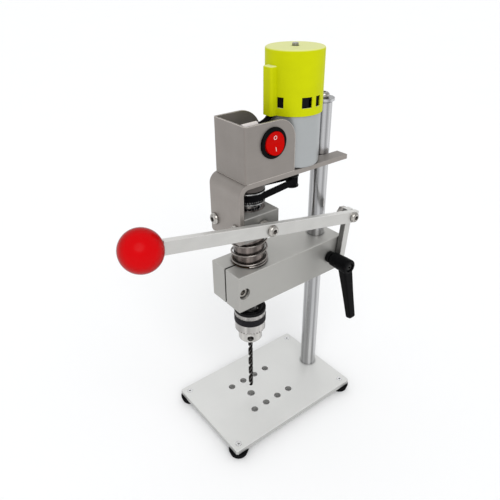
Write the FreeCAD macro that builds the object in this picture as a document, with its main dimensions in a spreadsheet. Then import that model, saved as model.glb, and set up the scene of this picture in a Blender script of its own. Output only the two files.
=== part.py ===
import FreeCAD, Part
import math
import os

import Sketcher
from FreeCAD import Placement, Rotation, Vector

# Bench drill press with a belt-driven quill carriage on one round column.
#
# Frame: millimetres, +Z up. The origin is the centre of the base plate's top face.
# +X is the side with the hand lever, the switch and the clamp handle.
# -Y is the front, where the operator stands, and the column is at +Y.
# Height order from below: feet, base plate, chuck, arm block, quill block, motor bracket,
# motor. Everything is drawn with the quill at the top of its stroke.

DIMS = {
    # base plate, feet and their screws
    "base_width": 100, "base_length": 150, "base_thick": 5, "base_corner": 1.5,
    "base_edge": 0.4, "row_offset": 19.5, "row_start": -30, "row_pitch": 15,
    "row_hole_radius": 3.5, "drill_hole_radius": 4, "column_seat": 2,
    "foot_inset": 7, "foot_top_radius": 9.5, "foot_low_radius": 8, "foot_height": 7,
    "foot_screw_radius": 1.5, "foot_screw_head": 3,
    # column and the disc on its top
    "column_place": 61.5, "column_radius": 8, "column_top": 290.7,
    "disc_radius": 9.8, "disc_thick": 2.5,
    # arm block
    "arm_width": 40, "arm_front": -46, "arm_rear": 78, "arm_low": 128, "arm_high": 164,
    "slit_width": 2, "arm_edge": 0.6, "clamp_screw_place": -39.8,
    "bushing_radius": 15.5, "counterbore_radius": 5.5, "counterbore_depth": 9.2,
    # quill, spindle and bearings
    "spindle_place": -19.5, "quill_radius": 13.75, "quill_low": 124, "quill_bore": 9.5,
    "bearing_radius": 11, "bearing_width": 7, "spindle_radius": 4,
    "fit_gap": 0.05, "thread_gap": 0.05,
    # quill block
    "block_front": -39.5, "block_rear": -3, "block_low": 194, "block_high": 216.5,
    # motor bracket: front plate and motor plate bent from one sheet
    "sheet_width": 41, "sheet_thick": 4, "bend_radius": 5, "plate_high": 245.5,
    "plate_rear": 74.5, "fork_gap": 0.35, "fork_start": 59.6, "collar_radius": 13.9,
    "collar_low": 233.2,
    # belt drive: 2 mm pitch, 40 and 16 teeth
    "belt_centres": 47.4, "belt_low": 224.8, "belt_width": 6, "belt_thick": 0.9,
    "big_pulley_radius": 12.48, "small_pulley_radius": 4.88, "flange_radius": 14,
    "small_flange_radius": 6.5, "pulley_low": 222.9, "pulley_high": 231.2,
    "flange_thick": 1.1, "belt_gap": 0.12,
    # motor
    "can_radius": 22.25, "can_wall": 1.5, "can_height": 46.5, "shaft_radius": 2.5,
    "shaft_low": 221.2, "shaft_high": 339.4, "boss_radius": 8.75,
    "end_cap_height": 20, "motor_screw_offset": 14.5,
    # motor cover
    "cover_radius": 23.4, "cover_wall": 1.05, "cover_low": 288.5, "cover_high": 337.2,
    "duct_width": 10.4, "duct_front": -0.6, "duct_high": 325.5,
    "window_low": 294.6, "window_high": 302.9,
    # switch housing and rocker switch
    "housing_width": 41, "housing_front": -37.2, "housing_rear": 12.2, "housing_high": 290.3,
    "housing_wall": 1.5, "housing_round": 17.5, "housing_far_rear": 9.1,
    "housing_far_round": 21.5, "housing_bend": 2.2, "switch_y": -10.6, "switch_z": 273.6,
    "bezel_radius": 12.3, "bezel_thick": 2, "barrel_radius": 9.9, "rocker_radius": 9,
    "rocker_tilt": 7, "rocker_axis_depth": 1.4, "tab_rise": 4.2,
    # return spring
    "spring_radius": 15.4, "spring_wire": 1.8, "spring_open_turns": 2.7,
    "spring_start_angle": -37,
    # hand lever and link
    "lever_height": 11.2, "lever_thick": 5, "lever_inner": 27, "lever_tilt": 10.78,
    "pivot_y": -20, "pivot_z": 206, "lever_reach": 99, "lever_back": 99.86,
    "lever_overhang": 6, "knob_radius": 16, "knob_place": 114.9,
    "link_thick": 6, "link_width": 7, "link_inner": 20.7, "link_tilt": 6.985,
    "link_length": 47.676, "link_foot_y": 72.3, "link_foot_z": 140, "link_hole": 3.45,
    # chuck and drill
    "chuck_low": 76, "chuck_high": 110.2, "nose_radius": 11.3, "sleeve_radius": 14.6,
    "sleeve_low": 88, "grip_low": 98.8, "grip_high": 105.8, "grip_radius": 15,
    "top_ring_high": 113.6, "ring_bore": 8.8, "drill_radius": 2.25, "drill_tip": 11.5, "drill_length": 80,
    "flute_length": 60, "flute_lead": 24.6, "jaw_radius": 2.3, "jaw_tilt": 9,
    "jaw_length": 20, "key_hole_radius": 3.1, "key_hole_height": 82.4,
    "sleeve_teeth": 30, "sleeve_notch": 0.85,
    # clamp handle
    "handle_height": 146, "hub_start": 20.4, "hub_end": 47.2, "handle_reach": 53,
}

doc = FreeCAD.newDocument("drill_press")
sheet = doc.addObject("Spreadsheet::Sheet", "dims")


class Size:
    """A length with its value now and the sheet expression that gives it."""

    def __init__(self, value, text):
        self.value = value
        self.text = text

    def __add__(self, other):
        return joined(self, "+", other)

    def __radd__(self, other):
        return joined(other, "+", self)

    def __sub__(self, other):
        return joined(self, "-", other)

    def __rsub__(self, other):
        return joined(other, "-", self)

    def __mul__(self, other):
        return joined(self, "*", other)

    def __rmul__(self, other):
        return joined(other, "*", self)

    def __truediv__(self, other):
        return joined(self, "/", other)

    def __neg__(self):
        return joined(0, "-", self)


def as_size(number):
    if isinstance(number, Size):
        return number
    return Size(float(number), "({:.6f})".format(float(number)))


def joined(left, sign, right):
    left = as_size(left)
    right = as_size(right)
    results = {
        "+": left.value + right.value,
        "-": left.value - right.value,
        "*": left.value * right.value,
        "/": left.value / (right.value or 1),
    }
    return Size(results[sign], "({} {} {})".format(left.text, sign, right.text))


class Dims:
    """The driving dimensions by name, each a Size bound to its sheet cell."""


def fill_sheet():
    dims = Dims()
    for row, (alias, value) in enumerate(DIMS.items(), start=1):
        sheet.set("A{}".format(row), alias.replace("_", " "))
        sheet.set("B{}".format(row), str(value))
        sheet.setAlias("B{}".format(row), alias)
        setattr(dims, alias, Size(float(value), "dims.{}".format(alias)))
    doc.recompute()
    return dims


d = fill_sheet()
nodes = {}

# ---------------------------------------------------------------- directions

TURNS = {
    "z": Rotation(),
    "-z": Rotation(Vector(1, 0, 0), 180),
    "x": Rotation(Vector(0, 1, 0), 90),
    "-x": Rotation(Vector(0, 1, 0), -90),
    "y": Rotation(Vector(1, 0, 0), -90),
    "-y": Rotation(Vector(1, 0, 0), 90),
    "side": Rotation(Vector(1, 1, 1), 120),  # local x, y, z to Y, Z, X
}
ORIGIN = (0, 0, 0)


def bind(thing, name, size):
    size = as_size(size)
    setattr(thing, name, size.value)
    thing.setExpression(name, size.text)


def place(thing, at, turn="z"):
    rotation = turn if isinstance(turn, Rotation) else TURNS[turn]
    at = [as_size(value) for value in at]
    thing.Placement = Placement(Vector(*[value.value for value in at]), rotation)
    for letter, value in zip("xyz", at):
        thing.setExpression("Placement.Base." + letter, value.text)
    return thing


def turned_point(at, turn, local):
    """Where a local point lands once its piece is turned and placed at a point."""
    columns = [turn.multVec(Vector(*unit)) for unit in ((1, 0, 0), (0, 1, 0), (0, 0, 1))]
    spot = []
    for axis in range(3):
        total = at[axis]
        for column, part in zip(columns, local):
            if abs(column[axis]) > 1e-9:
                total = total + part * column[axis]
        spot.append(total)
    return tuple(spot)


def node(name, thing):
    thing.Label = name
    nodes[name] = thing
    return thing


# ------------------------------------------------------------ Part primitives


def cylinder(radius, length, at=ORIGIN, turn="z"):
    rod = doc.addObject("Part::Cylinder", "rod")
    bind(rod, "Radius", radius)
    bind(rod, "Height", length)
    return place(rod, at, turn)


def cone(low_radius, high_radius, length, at=ORIGIN, turn="z"):
    taper = doc.addObject("Part::Cone", "taper")
    bind(taper, "Radius1", low_radius)
    bind(taper, "Radius2", high_radius)
    bind(taper, "Height", length)
    return place(taper, at, turn)


def box(sizes, at=ORIGIN, turn="z"):
    block = doc.addObject("Part::Box", "block")
    for name, size in zip(("Length", "Width", "Height"), sizes):
        bind(block, name, size)
    return place(block, at, turn)


def prism(flats, length, at=ORIGIN, turn="z"):
    """A hexagonal bar of the given width across its flats."""
    bar = doc.addObject("Part::Prism", "hexagon")
    bar.Polygon = 6
    bind(bar, "Circumradius", as_size(flats) / math.sqrt(3))
    bind(bar, "Height", length)
    return place(bar, at, turn)


def fused(things, refine=True):
    union = doc.addObject("Part::MultiFuse", "union")
    union.Shapes = things
    union.Refine = refine
    return union


def cut(base, tools):
    """The base less every tool."""
    for tool in tools:
        rest = doc.addObject("Part::Cut", "cut")
        rest.Base = base
        rest.Tool = tool
        base = rest
    return base


def common(first, second):
    shared = doc.addObject("Part::Common", "shared")
    shared.Base = first
    shared.Tool = second
    return shared


def grouped(things):
    bundle = doc.addObject("Part::Compound", "group")
    bundle.Links = things
    return bundle


def shaped(shape):
    """A piece whose shape is worked out by Part's own functions."""
    piece = doc.addObject("Part::Feature", "shaped")
    piece.Shape = shape
    return piece


# ------------------------------------------------------------ PartDesign bodies


def new_body():
    return doc.addObject("PartDesign::Body", "body")


def new_sketch(body, role):
    drawing = body.newObject("Sketcher::SketchObject", "sketch")
    planes = [item for item in body.Origin.OriginFeatures if item.Role == role]
    drawing.AttachmentSupport = (planes[0], [""])
    drawing.MapMode = "FlatFace"
    return drawing


def pin_vertex(drawing, edge, corner, axis, size):
    """Hold one coordinate of a vertex at a size measured from the origin."""
    size = as_size(size)
    if size.value == 0:
        line = -2 if axis == "X" else -1
        drawing.addConstraint(Sketcher.Constraint("PointOnObject", edge, corner, line))
        return
    rule = Sketcher.Constraint("Distance" + axis, edge, corner, size.value)
    index = drawing.addConstraint(rule)
    drawing.setExpression("Constraints[{}]".format(index), size.text)


def draw_outline(drawing, points):
    """A closed outline of straight edges, every corner held by the sheet."""
    points = [(as_size(x), as_size(y)) for x, y in points]
    first = drawing.GeometryCount
    corners = [Vector(x.value, y.value, 0) for x, y in points]
    for start, end in zip(corners, corners[1:] + corners[:1]):
        drawing.addGeometry(Part.LineSegment(start, end), False)
    count = len(points)
    for step in range(count):
        following = first + (step + 1) % count
        rule = Sketcher.Constraint("Coincident", first + step, 2, following, 1)
        drawing.addConstraint(rule)
    for step, (x, y) in enumerate(points):
        pin_vertex(drawing, first + step, 1, "X", x)
        pin_vertex(drawing, first + step, 1, "Y", y)


def draw_circle(drawing, x, y, radius):
    x, y, radius = as_size(x), as_size(y), as_size(radius)
    ring = Part.Circle(Vector(x.value, y.value, 0), Vector(0, 0, 1), radius.value)
    edge = drawing.addGeometry(ring, False)
    pin_vertex(drawing, edge, 3, "X", x)
    pin_vertex(drawing, edge, 3, "Y", y)
    index = drawing.addConstraint(Sketcher.Constraint("Radius", edge, radius.value))
    drawing.setExpression("Constraints[{}]".format(index), radius.text)


def soften(body, radius, wanted, kind="Fillet"):
    """Round or chamfer the edges of a body's tip that the test picks."""
    doc.recompute()
    tip = body.Tip
    picked = []
    for index, edge in enumerate(tip.Shape.Edges, start=1):
        if wanted(edge):
            picked.append("Edge{}".format(index))
    feature = body.newObject("PartDesign::" + kind, kind.lower())
    feature.Base = (tip, picked)
    bind(feature, "Radius" if kind == "Fillet" else "Size", radius)
    body.Tip = feature
    return feature


def rim_at(radius, height):
    """Picks the round edge of a turned piece at a radius and a height."""
    radius, height = as_size(radius).value, as_size(height).value

    def wanted(edge):
        if not isinstance(edge.Curve, Part.Circle):
            return False
        near = abs(edge.Curve.Radius - radius) < 1e-4
        return near and abs(edge.Curve.Center.z - height) < 1e-4

    return wanted


def post_at(x, y):
    """Picks the straight edge that stands on a corner of an extruded outline."""
    x, y = as_size(x).value, as_size(y).value

    def wanted(edge):
        ends = edge.Vertexes
        if len(ends) != 2:
            return False
        return all(math.hypot(end.X - x, end.Y - y) < 1e-3 for end in ends)

    return wanted


def turned(points, at=ORIGIN, turn="z", rounds=()):
    """A piece turned about its own Z axis from an outline of (radius, height)."""
    body = new_body()
    drawing = new_sketch(body, "XZ_Plane")
    draw_outline(drawing, points)
    spin = body.newObject("PartDesign::Revolution", "revolution")
    spin.Profile = drawing
    spin.ReferenceAxis = (drawing, ["V_Axis"])
    spin.Angle = 360
    body.Tip = spin
    for corner, radius in rounds:
        soften(body, radius, rim_at(*points[corner]))
    return place(body, at, turn)


def extruded(points, length, at=ORIGIN, turn="z", holes=(), corners=()):
    """A piece extruded along its own Z axis, with round holes and rounded corners."""
    body = new_body()
    drawing = new_sketch(body, "XY_Plane")
    draw_outline(drawing, points)
    for x, y, radius in holes:
        draw_circle(drawing, x, y, radius)
    pad = body.newObject("PartDesign::Pad", "pad")
    pad.Profile = drawing
    bind(pad, "Length", length)
    body.Tip = pad
    for corner, radius in corners:
        soften(body, radius, post_at(*points[corner]))
    return place(body, at, turn)


def rectangle(low_x, low_y, high_x, high_y):
    return [(low_x, low_y), (high_x, low_y), (high_x, high_y), (low_x, high_y)]


def ring(inner, outer, length, at=ORIGIN, turn="z", rounds=()):
    outline = [(inner, 0), (outer, 0), (outer, length), (inner, length)]
    return turned(outline, at, turn, rounds)


# ----------------------------------------------------------------- fasteners


def button_screw(at, turn, shank_radius=3, head_radius=5.25, head=3.3, length=10, flats=4):
    """A button-head screw: its head is above the point, its shank below."""
    outline = [
        (0, -length),
        (shank_radius, -length),
        (shank_radius, 0),
        (head_radius, 0),
        (head_radius, head),
        (0, head),
    ]
    blank = turned(outline, at, turn, rounds=[(4, head * 0.85), (1, shank_radius * 0.2)])
    socket = prism(flats, head, socket_point(at, turn, head * 0.15), turn)
    return cut(blank, [socket])


def cap_screw(at, turn, shank_radius=3, head_radius=5, head=6, length=20, flats=5):
    """A socket cap screw with a plain round head."""
    outline = [
        (0, -length),
        (shank_radius, -length),
        (shank_radius, 0),
        (head_radius, 0),
        (head_radius, head),
        (0, head),
    ]
    blank = turned(outline, at, turn, rounds=[(4, 0.6)])
    socket = prism(flats, head, socket_point(at, turn, head * 0.25), turn)
    return cut(blank, [socket])


def flat_screw(at, turn, shank_radius, head_radius, length, flats):
    """A countersunk screw whose head is flush with the point."""
    slope = head_radius - shank_radius
    outline = [
        (0, -length),
        (shank_radius, -length),
        (shank_radius, -slope),
        (head_radius, 0),
        (0, 0),
    ]
    blank = turned(outline, at, turn)
    depth = slope * 0.9
    socket = prism(flats, depth + 1, socket_point(at, turn, -depth), turn)
    return cut(blank, [socket])


def socket_point(at, turn, height):
    rotation = turn if isinstance(turn, Rotation) else TURNS[turn]
    step = rotation.multVec(Vector(0, 0, 1))
    return tuple(start + part * height for start, part in zip(at, step))


# ------------------------------------------------------------------ base group


def foot_places():
    reach_x = d.base_width / 2 - d.foot_inset
    reach_y = d.base_length / 2 - d.foot_inset
    return [(sx * reach_x, sy * reach_y) for sx in (-1, 1) for sy in (-1, 1)]


def make_base_plate():
    half_x, half_y, nip = d.base_width / 2, d.base_length / 2, d.base_corner
    outline = [
        (-half_x + nip, -half_y),
        (half_x - nip, -half_y),
        (half_x, -half_y + nip),
        (half_x, half_y - nip),
        (half_x - nip, half_y),
        (-half_x + nip, half_y),
        (-half_x, half_y - nip),
        (-half_x, -half_y + nip),
    ]
    holes = [(0, d.spindle_place, d.drill_hole_radius)]
    for side in (-1, 1):
        for step in range(4):
            y = d.row_start + d.row_pitch * step
            holes.append((d.row_offset * side, y, d.row_hole_radius))
    plate = extruded(outline, d.base_thick, (0, 0, -d.base_thick), holes=holes)

    def outer_edge(edge):
        box_of = edge.BoundBox
        flat = box_of.ZLength < 1e-6 and abs(box_of.ZMax - d.base_thick.value) < 1e-6
        return flat and isinstance(edge.Curve, Part.Line)

    soften(plate, d.base_edge, outer_edge, "Chamfer")
    tools = [
        cylinder(d.column_radius, d.column_seat, (0, d.column_place, -d.column_seat)),
        cylinder(3.1, d.base_thick, (0, d.column_place, -d.base_thick)),
        cone(6.2, 3.1, 3.1, (0, d.column_place, -d.base_thick)),
    ]
    sink = d.foot_screw_head - d.foot_screw_radius
    for x, y in foot_places():
        shank = d.foot_screw_radius + 0.1
        tools.append(cylinder(shank, d.base_thick, (x, y, -d.base_thick)))
        tools.append(cone(shank, d.foot_screw_head + 0.1, sink, (x, y, -sink)))
    return node("base_plate", cut(plate, [fused(tools)]))


def make_feet():
    feet = []
    screws = []
    low = d.foot_height
    for x, y in foot_places():
        outline = [
            (d.foot_screw_radius + d.thread_gap, 0),
            (d.foot_screw_radius + d.thread_gap, -low + 1.6),
            (3.5, -low + 1.6),
            (3.5, -low),
            (d.foot_low_radius, -low),
            (d.foot_top_radius, -1.5),
            (d.foot_top_radius, 0),
        ]
        feet.append(turned(outline, (x, y, -d.base_thick), rounds=[(4, 1.2), (6, 0.5)]))
        screw = flat_screw((x, y, 0), "z", 1.5, 2.95, 10, 2)
        screws.append(screw)
    node("rubber_feet", grouped(feet))
    node("foot_screws", grouped(screws))


def make_column():
    top = d.column_top
    low = -d.column_seat
    outline = [
        (0, low),
        (d.column_radius - 0.5, low),
        (d.column_radius, low + 0.5),
        (d.column_radius, top - 1),
        (d.column_radius - 1, top),
        (0, top),
    ]
    rod = turned(outline, (0, d.column_place, 0))
    tapped = [
        cylinder(3 + d.thread_gap, 18, (0, d.column_place, low)),
        cylinder(3 + d.thread_gap, 18, (0, d.column_place, top - 18)),
    ]
    node("column", cut(rod, [fused(tapped)]))
    screw = flat_screw((0, d.column_place, -d.base_thick), "-z", 3, 5.8, 16, 4)
    node("column_base_screw", screw)
    disc = ring(3.2, d.disc_radius, d.disc_thick, (0, d.column_place, top),
                rounds=[(2, 0.5), (1, 0.3)])
    node("column_disc", disc)
    washer_low = top + d.disc_thick
    washer = ring(3.1, 4.8, 1.2, (0, d.column_place, washer_low))
    gap = box((3, 0.8, 1.4), (2.6, d.column_place - 0.4, washer_low - 0.1))
    node("column_spring_washer", cut(washer, [gap]))
    screw = button_screw((0, d.column_place, washer_low + 1.2), "z", length=16)
    node("column_top_screw", screw)


# ------------------------------------------------------------------- arm group


def make_arm_block():
    half = d.arm_width / 2
    tall = d.arm_high - d.arm_low
    outline = rectangle(-half, d.arm_front, half, d.arm_rear)
    holes = [
        (0, d.spindle_place, d.bushing_radius),
        (0, d.column_place, d.column_radius + d.fit_gap),
    ]
    block = extruded(outline, tall, (0, 0, d.arm_low), holes=holes)
    soften(block, d.arm_edge, lambda edge: isinstance(edge.Curve, Part.Line), "Chamfer")
    slit_length = d.spindle_place - d.arm_front
    slit = box((d.slit_width, slit_length, tall),
               (-d.slit_width / 2, d.arm_front, d.arm_low))
    screw_z = d.arm_low + tall / 2
    cap_face = half - d.counterbore_depth
    spot = d.clamp_screw_place
    tools = [
        slit,
        cylinder(d.counterbore_radius, d.counterbore_depth, (cap_face, spot, screw_z), "x"),
        cylinder(3.1, cap_face + 1, (0, spot, screw_z), "x"),
        cylinder(3 + d.thread_gap, 18, (-18, spot, screw_z), "x"),
        cylinder(3 + d.thread_gap, half, (1, d.column_place, d.handle_height), "x"),
        cylinder(2.5 + d.thread_gap, 11, (half - 11, d.link_foot_y, d.link_foot_z), "x"),
    ]
    node("arm_block", cut(block, [fused(tools)]))
    screw = cap_screw((cap_face, spot, screw_z), "x", length=28)
    node("quill_clamp_screw", screw)


def make_bushing():
    inner = d.quill_radius + d.fit_gap
    tall = d.arm_high - d.arm_low
    liner = ring(inner, d.bushing_radius, tall, (0, d.spindle_place, d.arm_low))
    slit = box((d.slit_width, 4, tall),
               (-d.slit_width / 2, d.spindle_place - d.bushing_radius - 1, d.arm_low))
    node("quill_bushing", cut(liner, [slit]))


def spring_path():
    """The wire's centre line: a closed coil, open turns, then a closed coil."""
    wire = d.spring_wire.value
    low = d.arm_high.value + wire / 2 + 0.02
    span = d.block_low.value - wire / 2 - 0.02 - low
    closed = wire + 0.1
    open_turns = d.spring_open_turns.value
    turns = open_turns + 2
    steps = 113
    points = []
    for step in range(steps + 1):
        turn = turns * step / steps
        if turn < 1:
            height = closed * turn
        elif turn > turns - 1:
            height = span - closed * (turns - turn)
        else:
            height = closed + (span - 2 * closed) * (turn - 1) / open_turns
        angle = 2 * math.pi * turn + math.radians(d.spring_start_angle.value)
        radius = d.spring_radius.value
        x = radius * math.cos(angle)
        y = d.spindle_place.value + radius * math.sin(angle)
        points.append(Vector(x, y, low + height))
    return points


def make_spring():
    points = spring_path()
    curve = Part.BSplineCurve()
    curve.interpolate(points)
    spine = Part.Wire([curve.toShape()])
    first = curve.value(curve.FirstParameter)
    direction = curve.tangent(curve.FirstParameter)[0]
    section = Part.Wire([Part.makeCircle(d.spring_wire.value / 2, first, direction)])
    wire = spine.makePipeShell([section], True, True)
    node("return_spring", shaped(wire))


def make_link_screw():
    """The shoulder screw on which the link swings, held in the arm block."""
    outer = d.link_inner + d.link_thick + 0.15
    length = outer - d.arm_width / 2 + 10
    at = (outer, d.link_foot_y, d.link_foot_z)
    screw = button_screw(at, "x", 2.5, 4.6, 2.6, length, 3)
    node("link_pivot_screw", screw)


# -------------------------------------------------------------- clamp handle


def make_clamp_handle():
    x0 = d.hub_start
    length = d.hub_end - d.hub_start
    at = (x0, d.column_place, d.handle_height)
    outline = [
        (3 + d.thread_gap, 0),
        (5.5, 0),
        (5.5, 4.2),
        (4.5, 4.4),
        (4.5, 5.6),
        (6.6, 6),
        (7.3, length - 8),
        (7.3, length),
        (4.4, length),
        (4.4, length - 3),
        (3 + d.thread_gap, length - 3),
    ]
    hub = turned(outline, at, "x", rounds=[(7, 1.6), (1, 0.6)])
    arm = shaped(handle_arm())
    bore = cylinder(4.4, length + 1, (x0, d.column_place, d.handle_height), "x")
    node("clamp_handle", fused([hub, cut(arm, [bore])]))
    stud_start = d.column_radius + 0.1
    stud = cylinder(3, x0 + length - 8 - stud_start,
                    (stud_start, d.column_place, d.handle_height), "x")
    node("clamp_stud", stud)
    cap_at = (x0 + length - 2.9, d.column_place, d.handle_height)
    screw = button_screw(cap_at, "x", 2, 4.2, 2.2, 3.5, 2.5)
    node("clamp_handle_screw", screw)


def rounded_section(centre, across, through, half_y, half_n, bend):
    """A rectangle with rounded corners, as a wire round a centre."""
    corners = []
    for sign_y, sign_n in ((1, 1), (-1, 1), (-1, -1), (1, -1)):
        corners.append((sign_y * half_y, sign_n * half_n))
    edges = []
    marks = []
    for index, (y, n) in enumerate(corners):
        before = corners[index - 1]
        after = corners[(index + 1) % 4]
        marks.append((toward((y, n), before, bend), (y, n), toward((y, n), after, bend)))

    def spot(pair):
        return centre + across * pair[0] + through * pair[1]

    for index, (enter, corner, leave) in enumerate(marks):
        middle = tuple(
            0.5 * corner[k] + 0.25 * (enter[k] + leave[k]) for k in range(2)
        )
        edges.append(Part.Arc(spot(enter), spot(middle), spot(leave)).toShape())
        following = marks[(index + 1) % 4][0]
        edges.append(Part.LineSegment(spot(leave), spot(following)).toShape())
    return Part.Wire(edges)


def toward(start, end, distance):
    span = math.hypot(end[0] - start[0], end[1] - start[1])
    share = distance / span
    return tuple(start[k] + (end[k] - start[k]) * share for k in range(2))


def handle_arm():
    """The tapered arm: it hangs from the hub and leans out by a quarter."""
    top = Vector(d.hub_end.value - 6.4, d.column_place.value, d.handle_height.value)
    reach = d.handle_reach.value
    lean = Vector(0.25, 0, -1).normalize()
    across = Vector(0, 1, 0)
    through = lean.cross(across)
    stations = [(2, 5.6, 4.6, 2), (reach * 0.55, 4.4, 3.7, 1.7), (reach, 3.7, 3.1, 1.3),
                (reach + 1.2, 3, 2.4, 1)]
    wires = []
    for distance, half_y, half_n, bend in stations:
        wires.append(rounded_section(top + lean * distance, across, through,
                                     half_y, half_n, bend))
    return Part.makeLoft(wires, True, True)


# ------------------------------------------------------------ quill carriage


def make_quill():
    low, high = d.quill_low, d.block_high
    seat = d.bearing_width + 1.2
    outline = [
        (d.bearing_radius, low),
        (d.quill_radius - 0.6, low),
        (d.quill_radius, low + 0.6),
        (d.quill_radius, high),
        (d.bearing_radius, high),
        (d.bearing_radius, high - seat),
        (d.quill_bore, high - seat),
        (d.quill_bore, low + seat),
        (d.bearing_radius, low + seat),
    ]
    node("quill_tube", turned(outline, (0, d.spindle_place, 0)))


def make_quill_block():
    half = d.arm_width / 2
    tall = d.block_high - d.block_low
    outline = rectangle(-half, d.block_front, half, d.block_rear)
    holes = [(0, d.spindle_place, d.quill_radius + 0.02)]
    block = extruded(outline, tall, (0, 0, d.block_low), holes=holes)
    soften(block, d.arm_edge, lambda edge: isinstance(edge.Curve, Part.Line), "Chamfer")
    tools = [cylinder(3 + d.thread_gap, 6, (half - 6, d.pivot_y, d.pivot_z), "x")]
    for side in (-1, 1):
        tools.append(cylinder(3 + d.thread_gap, 9.5,
                              (bracket_screw_x(side), d.block_front, bracket_screw_z()), "y"))
    node("quill_block", cut(block, tools))


def bracket_screw_x(side):
    return (d.sheet_width / 2 - 6) * side


def bracket_screw_z():
    return d.block_low + 12.5


def make_bracket():
    half = d.sheet_width / 2
    front = d.block_front - d.sheet_thick
    low, high = d.block_low, d.plate_high
    inner_z = high - d.sheet_thick
    outline = [
        (front, low),
        (d.block_front, low),
        (d.block_front, inner_z),
        (d.plate_rear, inner_z),
        (d.plate_rear, high),
        (front, high),
    ]
    corners = [(2, d.bend_radius), (5, d.bend_radius + d.sheet_thick)]
    angle = extruded(outline, d.sheet_width, (-half, 0, 0), "side", corners=corners)
    fork = d.column_radius + d.fork_gap
    deep = d.sheet_thick + 2
    tools = [
        box((fork * 2, 20, deep), (-fork, d.fork_start, inner_z - 1)),
        cylinder(fork, deep, (0, d.fork_start, inner_z - 1)),
        cylinder(d.boss_radius + 0.1, deep, (0, motor_place(), inner_z - 1)),
        cylinder(d.spindle_radius + 2, deep, (0, d.spindle_place, inner_z - 1)),
    ]
    for side in (-1, 1):
        tools.append(cylinder(3.1, 10, (bracket_screw_x(side), front - 3, bracket_screw_z()), "y"))
        tools.append(cylinder(2.1, deep,
                              (d.motor_screw_offset * side, motor_place(), inner_z - 1)))
        tools.append(cylinder(1.55, deep, (9 * side, housing_screw_y(), inner_z - 1)))
    plate = cut(angle, [fused(tools)])
    nips = [corner_cut(side, half, front, low) for side in (-1, 1)]
    node("motor_bracket", cut(plate, nips))
    screws = []
    for side in (-1, 1):
        at = (bracket_screw_x(side), front, bracket_screw_z())
        screws.append(button_screw(at, "-y", length=12))
    node("bracket_screws", grouped(screws))


def corner_cut(side, half, front, low):
    """A cutter that breaks one lower corner of the front plate."""
    nip = 1.5
    outline = [(half * side, low), (half * side - nip * side, low), (half * side, low + nip)]
    if side < 0:
        outline = outline[::-1]
    return extruded(outline, d.sheet_thick + 2, (0, front + d.sheet_thick + 1, 0),
                    Rotation(Vector(1, 0, 0), 90))


def motor_place():
    return d.spindle_place + d.belt_centres


def housing_screw_y():
    return d.housing_front + 8


def make_collar():
    """The round collar under the motor plate that holds the top bearing."""
    low, high = d.collar_low, d.plate_high - d.sheet_thick
    seat = low + 0.8 + d.bearing_width
    outline = [
        (d.bearing_radius, low),
        (d.collar_radius, low),
        (d.collar_radius, high),
        (d.spindle_radius + 2, high),
        (d.spindle_radius + 2, seat),
        (d.bearing_radius, seat),
    ]
    node("bearing_collar", turned(outline, (0, d.spindle_place, 0), rounds=[(1, 0.4)]))


def bearing_starts():
    return [
        d.quill_low + 1,
        d.block_high - d.bearing_width - 1,
        d.collar_low + 0.6,
    ]


def make_bearings():
    outers = []
    inners = []
    balls = []
    width = d.bearing_width
    for low in bearing_starts():
        at = (0, d.spindle_place, low)
        races = [
            (d.bearing_radius - 1.5, 0),
            (d.bearing_radius, 0),
            (d.bearing_radius, width),
            (d.bearing_radius - 1.5, width),
        ]
        outers.append(turned(races, at, rounds=[(1, 0.3), (2, 0.3)]))
        inners.append(ring(d.spindle_radius, d.spindle_radius + 1.6, width, at))
        for step in range(7):
            angle = 2 * math.pi * step / 7
            ball = doc.addObject("Part::Sphere", "ball")
            bind(ball, "Radius", 1.9)
            spot = (7.55 * math.cos(angle), d.spindle_place + 7.55 * math.sin(angle),
                    low + width / 2)
            balls.append(place(ball, spot))
    node("bearing_outer_rings", grouped(outers))
    node("bearing_inner_rings", grouped(inners))
    node("bearing_balls", grouped(balls))


# ---------------------------------------------------------------- belt drive


def belt_wire(grow):
    """The outline round both pulleys, a set distance outside their rims."""
    big = d.big_pulley_radius.value + grow
    small = d.small_pulley_radius.value + grow
    span = d.belt_centres.value
    lean = math.asin((big - small) / span)
    big_y, small_y = d.spindle_place.value, motor_place().value
    cos, sin = math.cos(lean), math.sin(lean)
    right_big = Vector(big * cos, big_y + big * sin, 0)
    right_small = Vector(small * cos, small_y + small * sin, 0)
    left_big = Vector(-right_big.x, right_big.y, 0)
    left_small = Vector(-right_small.x, right_small.y, 0)
    edges = [
        Part.LineSegment(right_big, right_small).toShape(),
        Part.Arc(right_small, Vector(0, small_y + small, 0), left_small).toShape(),
        Part.LineSegment(left_small, left_big).toShape(),
        Part.Arc(left_big, Vector(0, big_y - big, 0), right_big).toShape(),
    ]
    return Part.Wire(edges), right_big, right_small


def belt_teeth():
    """Rounded teeth at the belt's pitch on the inside of its two straight runs."""
    pitch = 2
    inner = d.belt_gap.value
    run, start, end = belt_wire(inner)
    along = (end - start).normalize()
    inward = Vector(along.y * -1, along.x, 0)
    length = (end - start).Length
    count = int((length - 8) // pitch)
    teeth = []
    for step in range(count):
        centre = start + along * (4 + step * pitch) + inward * -0.1
        tooth = Part.makeCylinder(0.6, d.belt_width.value, centre)
        teeth.append(tooth)
        twin = Vector(-centre.x, centre.y, centre.z)
        teeth.append(Part.makeCylinder(0.6, d.belt_width.value, twin))
    return teeth


def make_belt():
    outer = Part.Face(belt_wire(d.belt_gap.value + d.belt_thick.value)[0])
    inner = Part.Face(belt_wire(d.belt_gap.value)[0])
    band = outer.cut(inner).extrude(Vector(0, 0, d.belt_width.value))
    band = band.fuse(belt_teeth()).removeSplitter()
    belt = shaped(band.Solids[0])
    belt.Placement = Placement(Vector(0, 0, d.belt_low.value), Rotation())
    node("drive_belt", belt)


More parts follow.
